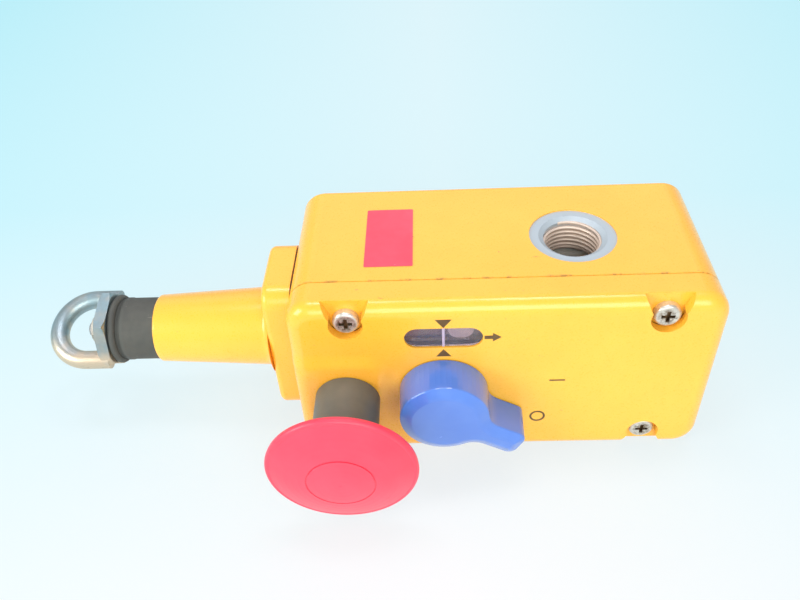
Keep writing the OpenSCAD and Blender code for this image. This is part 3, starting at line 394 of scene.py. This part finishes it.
def lens_material():
    """Clear moulded window, a little pink and lightly grained."""
    material, tree, shader = start_material("clear_window", Transmission_Weight=0.92, IOR=1.46)
    tint = clouded(tree, srgb(244, 232, 240), srgb(222, 200, 208), size=60.0, amount=0.6)
    grained_surface(tree, shader, tint, rough=0.08, grain=300.0, depth=0.02 * MM)
    return material


MATERIALS = {
    "yellow_paint": casting_paint("cast_paint", with_entry=False),
    "black_rubber": plain_finish("seal_rubber", srgb(62, 62, 60), srgb(82, 80, 76), 0.6,
        grain=1300.0, depth=0.03 * MM),
    "boot_rubber": plain_finish("boot_rubber", srgb(70, 72, 69), srgb(86, 87, 81), 0.66,
        grain=1100.0, depth=0.04 * MM, amount=0.8, size=60.0, scuff=srgb(150, 148, 138)),
    "screw_steel": metal_finish("screw_zinc", srgb(214, 210, 200), srgb(150, 138, 118), 0.3,
        scuff=srgb(96, 74, 52)),
    "natural_plastic": plain_finish("natural_plastic", srgb(238, 233, 218), srgb(226, 218, 198), 0.45),
    "rod_steel": metal_finish("rod_steel", srgb(190, 192, 194), srgb(160, 162, 164), 0.28),
    "eye_steel": eye_material(),
    "spring_steel": metal_finish("spring_steel", srgb(176, 178, 182), srgb(140, 142, 146), 0.3),
    "brass": metal_finish("brass", srgb(214, 184, 112), srgb(186, 150, 82), 0.32),
    "white_plastic": plain_finish("white_plastic", srgb(240, 240, 234), srgb(226, 224, 214), 0.4),
    "black_plastic": plain_finish("black_plastic", srgb(94, 97, 91), srgb(112, 112, 103), 0.45,
        grain=1600.0, amount=0.7, size=45.0, scuff=srgb(150, 146, 134)),
    "marker_white": plain_finish("marker_white", srgb(244, 240, 236), srgb(228, 220, 214), 0.4),
    "block_plastic": plain_finish("block_plastic", srgb(236, 236, 228), srgb(220, 220, 210), 0.42),
    "plunger_red": plain_finish("plunger_red", srgb(206, 60, 44), srgb(184, 46, 36), 0.35),
    "plunger_green": plain_finish("plunger_green", srgb(52, 140, 84), srgb(42, 120, 70), 0.35),
    "blue_plastic": plain_finish("knob_plastic", srgb(74, 120, 208), srgb(96, 142, 218), 0.34,
        grain=700.0, depth=0.012 * MM, amount=0.5, size=30.0, scuff=srgb(120, 158, 240),
        Coat_Weight=0.9, Coat_Roughness=0.05),
    "red_plastic": plain_finish("button_plastic", srgb(244, 52, 80), srgb(250, 72, 96), 0.4,
        depth=0.012 * MM, size=26.0, scuff=srgb(222, 36, 62), Coat_Weight=0.3, Coat_Roughness=0.35),
    "plate_steel": metal_finish("plate_steel", srgb(184, 186, 188), srgb(158, 158, 156), 0.34),
    "clear_lens": lens_material(),
}
OWN_FINISH = {    # pieces that don't have the plain finish of their slot
    "tension_indicator": plain_finish("carrier_plastic", srgb(128, 112, 108), srgb(108, 96, 92), 0.45),
    "housing_base": casting_paint("cast_paint_entry", with_entry=True),
    "cover_screws": screw_material(),
}
INK = plain_finish("printing_ink", srgb(84, 62, 30), srgb(110, 84, 44), 0.5,
    grain=2600.0, depth=0.004 * MM, amount=0.8, size=400.0)

for row in frame["record"]["subparts"]:
    finishes = nodes[row["node"]].data.materials
    finishes.clear()
    finishes.append(OWN_FINISH.get(row["node"], MATERIALS[row["material_slot"]]))


# ---- new pieces ----

FRONT = ((1, 0, 0), (0, 0, 1), (0, -1, 0))    # a face's first and second direction and its outward normal
TOP = ((1, 0, 0), (0, 1, 0), (0, 0, 1))
INK_THICK = 0.05 * MM
ALL_SMOOTH, ALL_FLAT = math.pi, 0.0           # angles from which edges are sharp


def points(x, y, z):
    """Grid of points from coordinates that spread over one another: rows u, columns v, then x, y, z."""
    return np.stack(np.broadcast_arrays(x, y, z), axis=-1)


def surface_mesh(name, grid, close_u=False, caps=False):
    """Mesh of a grid of points, closed along v, with a quad between each four neighbours.

    close_u joins the last row to the first; caps put a face on the first and the last row instead."""
    rows, columns = grid.shape[:2]
    index = np.arange(rows * columns).reshape(rows, columns)
    u = np.arange(rows if close_u else rows - 1)[:, None]
    v = np.arange(columns)
    next_u, next_v = (u + 1) % rows, (v + 1) % columns
    quads = np.stack([index[u, v], index[next_u, v], index[next_u, next_v], index[u, next_v]], axis=-1)
    faces = quads.reshape(-1, 4).tolist()
    if caps:
        faces += [index[0].tolist(), index[-1, ::-1].tolist()]
    mesh = bpy.data.meshes.new(name)
    mesh.from_pydata(grid.reshape(-1, 3).tolist(), [], faces)
    return mesh


def merge_doubles(mesh, gap, outwards=False):
    """Joins vertices closer than a gap and, if asked, turns the faces outwards."""
    shape = bmesh.new()
    shape.from_mesh(mesh)
    bmesh.ops.remove_doubles(shape, verts=shape.verts, dist=gap)
    if outwards:
        bmesh.ops.recalc_face_normals(shape, faces=shape.faces)
    shape.to_mesh(mesh)
    shape.free()


def new_object(name, mesh, sharp_from):
    """Object at the origin, smooth but for the edges at which its faces turn by more than an angle."""
    if sharp_from > ALL_FLAT:
        mesh.shade_smooth()
        mesh.set_sharp_from_angle(angle=sharp_from)
    piece = bpy.data.objects.new(name, mesh)
    scene.collection.objects.link(piece)
    return piece


def place_piece(name, mesh, material, body, sharp_from=ALL_SMOOTH):
    """New closed piece with its faces outwards, a material and a body to ride on."""
    merge_doubles(mesh, gap=1e-7, outwards=True)
    mesh.materials.append(material)
    piece = new_object(name, mesh, sharp_from)
    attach(piece, body)


def raised_outlines(name, outlines, origin, directions, thick, material):
    """Flat plates on a face of the housing, as one piece: prisms of a thickness over closed outlines.

    An outline's points (p, q) lie at origin + p first + q second, and once more at thick along the normal."""
    vertices, faces = [], []
    for outline in outlines:
        start, count = len(vertices), len(outline)
        low = np.array(origin) + outline @ np.array(directions[:2], float)
        high = low + thick * np.array(directions[2], float)
        vertices += low.tolist() + high.tolist()
        ring = start + np.arange(count)
        following = np.roll(ring, -1)
        faces += [ring[::-1].tolist(), (ring + count).tolist()]
        faces += np.stack([ring, following, following + count, ring + count], axis=-1).tolist()
    mesh = bpy.data.meshes.new(name)
    mesh.from_pydata(vertices, [], faces)
    place_piece(name, mesh, material, "housing", ALL_FLAT)


def printed_marks():
    """Flat ink shapes: pointers under and over the window, an arrow beside it, and the bar of the mark I.

    Outlines are in millimetres, from the window's centre and, for the bar, from the knob's."""
    pointer_under = ((-2.6, -8.6), (2.6, -8.6), (0.0, -5.2))
    pointer_over = ((-2.8, 8.5), (0.0, 4.7), (2.8, 8.5))
    tail, head, tip, shaft, barb = 13.7, 16.5, 19.4, 0.8, 2.0
    arrow = ((tail, -shaft), (head, -shaft), (head, -barb), (tip, 0.0),
        (head, barb), (head, shaft), (tail, shaft))
    bar_x, bar_z, half_length, half_width = 39.85, 3.95, 2.75, 0.35
    left, right = bar_x - half_length, bar_x + half_length
    low, high = bar_z - half_width, bar_z + half_width
    bar = ((left, low), (right, low), (right, high), (left, high))
    window, knob = np.array((window_x, window_z)), np.array((knob_x, knob_z))
    outlines = [window + np.array(shape) * MM for shape in (pointer_under, pointer_over, arrow)]
    outlines.append(knob + np.array(bar) * MM)
    raised_outlines("printed_marks", outlines, (0, front_y, 0), FRONT, INK_THICK, INK)


def sight_line():
    """Moulded rib down the middle of the window: a half-round bar carried straight from end to end.

    Its height over the lens is h(s) = 0.7 r root(1 - s s), at s r from its middle and with s from -1 to 1.
    Two more points close the section inside the lens."""
    r, reach, foot = 0.5 * MM, 4.3 * MM, 0.2 * MM
    s = np.linspace(-1, 1, 9)
    across = np.append(s, (1, -1)) * r
    height = np.append(0.7 * r * np.sqrt(1 - s * s), (-foot, -foot))
    ends = np.array([[-reach], [reach]])
    grid = points(window_x + across, corner("window_lens", LOW, Y) - height, window_z + ends)
    mesh = surface_mesh("sight_line", grid, caps=True)
    pale = plain_finish("sight_line", srgb(190, 176, 200), srgb(166, 150, 172), 0.3,
        grain=1500.0, depth=0.005 * MM)
    place_piece("sight_line", mesh, pale, "housing", sharp_from=0.8)


def off_ring():
    """The mark O, a flat ring of ink: a square section of radii r and heights h swept round its centre.

    x = cx + r cos a, y = front - h, z = cz + r sin a, where a goes once round."""
    cx, cz = knob_x + 34.1 * MM, knob_z - 15.2 * MM
    r = np.array((2.85, 2.85, 2.10, 2.10)) * MM
    h = np.array((0.0, INK_THICK, INK_THICK, 0.0))
    a = np.linspace(0, TAU, 48, endpoint=False)[:, None]
    grid = points(cx + r * np.cos(a), front_y - h, cz + r * np.sin(a))
    mesh = surface_mesh("off_ring", grid, close_u=True)
    place_piece("off_ring", mesh, INK, "housing", ALL_FLAT)


def boss_shoulder():
    """Soft slope round the raised pad under the collar, from the pad's top down to the cover.

    u runs along the pad's edge: left to right, round its corner, and down; v runs across it. The height over
    the cover is h(s) = lift / 2 (1 + cos(pi (s + a) / (a + b))) for s from -a to b, and the whole follows the
    cover's rim, rim(d) = root(e e - (e - d)(e - d)) - e, where d <= e is the distance from the cover's side.
    Two more points close the section inside the casting."""
    lift, proud = 1.23 * MM, 0.02 * MM
    a, b, e, bend = 5.3 * MM, 1.6 * MM, 5.0 * MM, 9.0 * MM
    pad_right, pad_top = stop_x + 16 * MM, stop_z + 20 * MM
    right, top = pad_right - bend, pad_top - bend
    inset = e * (1 - np.cos(np.linspace(0.09, math.pi / 2, 9)))
    across = np.linspace(left_x + e, right, 12)[1:-1]
    turn = np.linspace(0, math.pi / 2, 15)
    down = np.linspace(top, floor_z + e, 12)[1:-1]
    before, after = len(inset) + len(across), len(down) + len(inset)
    line_x = np.concatenate([left_x + inset, across, np.full(len(turn) + after, right)])[:, None]
    line_z = np.concatenate([np.full(before + len(turn), top), down, floor_z + inset[::-1]])[:, None]
    facing = np.concatenate([np.zeros(before), turn, np.full(after, math.pi / 2)])[:, None]
    d = np.concatenate([inset, np.full(len(line_x) - 2 * len(inset), e), inset[::-1]])[:, None]
    rim = np.sqrt(e * e - (e - d) ** 2) - e
    s = np.linspace(-a, b, 23)
    h = lift / 2 * (1 + np.cos(math.pi * (s + a) / (a + b))) + proud
    out = bend + np.append(s, (b, -a))
    height = np.append(h, (-0.6 * MM, -0.9 * MM)) + rim
    grid = points(line_x + np.sin(facing) * out, front_y - height, line_z + np.cos(facing) * out)
    mesh = surface_mesh("boss_shoulder", grid, caps=True)
    place_piece("boss_shoulder", mesh, MATERIALS["yellow_paint"], "housing", sharp_from=0.7)


def label_plate():
    """Bare foil on the conduit side; each corner of its outline is an arc, cx + r cos a, cy + r sin a."""
    width, length, foil_thick, r = 17.0 * MM, 33.6 * MM, 0.14 * MM, 0.5 * MM
    from_side, from_seam = 26.1 * MM, 7.2 * MM
    left, front = left_x + from_side + r, seam_y + from_seam + r
    right, back = left + width - 2 * r, front + length - 2 * r
    a = np.radians([[0], [90], [180], [270]]) + np.radians(np.arange(0, 91, 15))
    x = np.array([[right], [left], [left], [right]]) + r * np.cos(a)
    y = np.array([[back], [back], [front], [front]]) + r * np.sin(a)
    outline = np.stack([x, y], axis=-1).reshape(-1, 2)
    foil = plain_finish("label_foil", srgb(220, 58, 84), srgb(232, 84, 108), 0.35,
        grain=500.0, depth=0.03 * MM, amount=0.5, size=60.0, scuff=srgb(246, 150, 160),
        Coat_Weight=0.3, Coat_Roughness=0.2)
    raised_outlines("label_plate", [outline], (0, 0, top_z), TOP, foil_thick, foil)


def thread(name, start, axis, crest, root, pitch, length, material, body):
    """Helical ridge: a trapezoid section carried along a helix. Inside threads have crest < root.

    Row u is a number of turns t, column v a point of the section. Its place is
    start + axis (t + offset) pitch + r (side cos a + other sin a), with a = 2 pi t. r is a little beyond root
    at the section's foot and crest at its top, which sinks into the root over a run-out at either end."""
    axis = Vector(axis).normalized()
    side = axis.orthogonal().normalized()
    axis, side, other = np.array(axis), np.array(side), np.array(axis.cross(side))
    turns = length / pitch
    steps_per_turn, run_out, beyond = 40, 0.35, 0.08
    t = np.linspace(0, turns, int(turns * steps_per_turn) + 1)[:, None]
    fade = np.clip(np.minimum(t, turns - t) / run_out, 0.02, 1)
    offset = np.array((-0.46, -0.10, 0.10, 0.46))
    at_top = np.array((0, 1, 1, 0))
    r = root + (crest - root) * (at_top * fade - beyond * (1 - at_top))
    along = (t + offset) * pitch
    a = TAU * t[..., None]
    grid = np.array(start) + axis * along[..., None] + (side * np.cos(a) + other * np.sin(a)) * r[..., None]
    place_piece(name, surface_mesh(name, grid, caps=True), material, body)


def entry_and_rod_threads():
    """Threads of the conduit entry and of the rod's tip."""
    metal = plain_finish("entry_metal", srgb(222, 204, 190), srgb(200, 178, 162), 0.45,
        grain=1500.0, depth=0.01 * MM, Metallic=0.3)
    entry_depth, play, plain_tip = 13.4 * MM, 0.02 * MM, 0.4 * MM
    thread("conduit_thread", (conduit_x, conduit_y, top_z - entry_depth), (0, 0, 1), crest=9.45 * MM,
        root=conduit_r - play, pitch=1.81 * MM, length=11.2 * MM, material=metal, body="housing")
    thread("rod_thread", (corner("pull_rod", LOW, X) + plain_tip, rod_y, rod_z), (1, 0, 0), crest=3.0 * MM,
        root=2.6 * MM, pitch=1.0 * MM, length=1.6 * MM, material=MATERIALS["rod_steel"], body="rod")


printed_marks()
sight_line()
off_ring()
boss_shoulder()
label_plate()
entry_and_rod_threads()


# ---- merged copies that stand for the springs and the boot ----


def flexible_copy(node):
    """Merged copy of a spring's or boot's own solid, which stands for it in place of the hidden solid."""
    mesh = nodes[node].data.copy()
    merge_doubles(mesh, gap=1e-6)
    piece = new_object(node + "_flexible", mesh, sharp_from=0.6)
    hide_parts(node)
    return piece


main_spring = flexible_copy("tension_spring")
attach(main_spring, "housing")
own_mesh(main_spring)
button_spring = flexible_copy("stop_spring")
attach(button_spring, "housing")
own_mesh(button_spring)
boot = flexible_copy("rod_boot")
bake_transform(boot)


# ---- floor, lights, camera ----

def floor_material():
    """Pale floor: to the camera and in gloss mostly a glow, so that its tint is even and the shadow soft."""
    material = bpy.data.materials.new("pale_floor")
    material.use_nodes = True
    tree = material.node_tree
    tree.nodes.clear()
    pale_x, dimming, glow_strength = -0.02, 0.83, 0.77
    _, x, y, _ = on_object(tree)
    aside = maths(tree, "ABSOLUTE", minus(tree, x, pale_x))
    far = plus(tree, aside, ramp(tree, y, -0.15, 0.10, 0.0, 0.4))
    tone = mixed(tree, maths(tree, "MINIMUM", far, 1.0), srgb(255, 254, 255), srgb(168, 241, 254))
    rays = add(tree, "LightPath").outputs
    gloss = maths(tree, "MAXIMUM", rays["Is Glossy Ray"], rays["Is Transmission Ray"])
    seen = maths(tree, "MAXIMUM", rays["Is Camera Ray"], gloss)
    dimmed = mixed(tree, dimming, tone, (0, 0, 0, 1))
    matt = add(tree, "BsdfDiffuse", {"Color": mixed(tree, seen, srgb(245, 250, 252), dimmed)})
    glow = add(tree, "Emission", {"Color": tone, "Strength": times(tree, seen, glow_strength)})
    both = add(tree, "AddShader", {0: matt.outputs[0], 1: glow.outputs[0]})
    put(tree, tree.nodes.new("ShaderNodeOutputMaterial").inputs["Surface"], both.outputs[0])
    return material


def studio_floor():
    """Square floor under the housing."""
    half, z = 4.0, floor_z
    mesh = bpy.data.meshes.new("floor")
    square = [(-half, -half, z), (half, -half, z), (half, half, z), (-half, half, z)]
    mesh.from_pydata(square, [], [(0, 1, 2, 3)])
    mesh.materials.append(floor_material())
    floor = bpy.data.objects.new("floor", mesh)
    scene.collection.objects.link(floor)


def soft_light(name, place, width, height, power, colour):
    """Area lamp aimed at the switch."""
    target = Vector((0, -0.04, 0))
    data = bpy.data.lights.new(name, "AREA")
    data.shape, data.size, data.size_y = "RECTANGLE", width, height
    data.energy, data.color = power, colour
    lamp = bpy.data.objects.new(name, data)
    lamp.location = place
    lamp.rotation_mode = "QUATERNION"
    lamp.rotation_quaternion = (target - Vector(place)).to_track_quat("-Z", "Y")
    scene.collection.objects.link(lamp)


def studio_world():
    """Plain pale light from all round."""
    world = bpy.data.worlds.new("studio")
    world.use_nodes = True
    background = world.node_tree.nodes["Background"].inputs
    background["Color"].default_value = (0.93, 0.97, 1.0, 1)
    background["Strength"].default_value = 0.6
    scene.world = world
    scene.view_settings.view_transform = "Standard"


def studio_camera():
    """Camera above the front, turned a little about its own axis."""
    place = Vector((-0.023142, -0.257429, 0.207353))
    azimuth, elevation, roll = (math.radians(angle) for angle in (3.364, 41.530, -3.653))
    back = Vector((math.sin(azimuth) * math.cos(elevation), -math.cos(azimuth) * math.cos(elevation),
        math.sin(elevation)))
    level = Vector((math.cos(azimuth), math.sin(azimuth), 0))
    upward = level.cross(-back)
    right = math.cos(roll) * level + math.sin(roll) * upward
    up = -math.sin(roll) * level + math.cos(roll) * upward
    data = bpy.data.cameras.new("camera")
    data.sensor_width, data.lens = 36.0, 35.41
    data.clip_start, data.clip_end = 0.01, 20
    camera = bpy.data.objects.new("camera", data)
    camera.matrix_world = Matrix.Translation(place) @ Matrix((right, up, back)).transposed().to_4x4()
    scene.collection.objects.link(camera)
    scene.camera = camera


studio_floor()
for key_x in (-0.22, 0.16):
    soft_light("key", (key_x, 0.10, 1.0), 0.20, 0.30, 1.75, (1.0, 0.92, 1.0))
soft_light("front", (0.15, -1.0, 0.55), 0.9, 0.6, 8.0, (1.0, 1.0, 0.94))
soft_light("side", (-0.9, -0.5, 0.45), 0.5, 0.5, 6.2, (1.0, 1.0, 0.94))
soft_light("back", (0.0, 1.30, 1.15), 1.8, 0.9, 3.0, (1.0, 0.95, 1.0))
studio_world()
studio_camera()
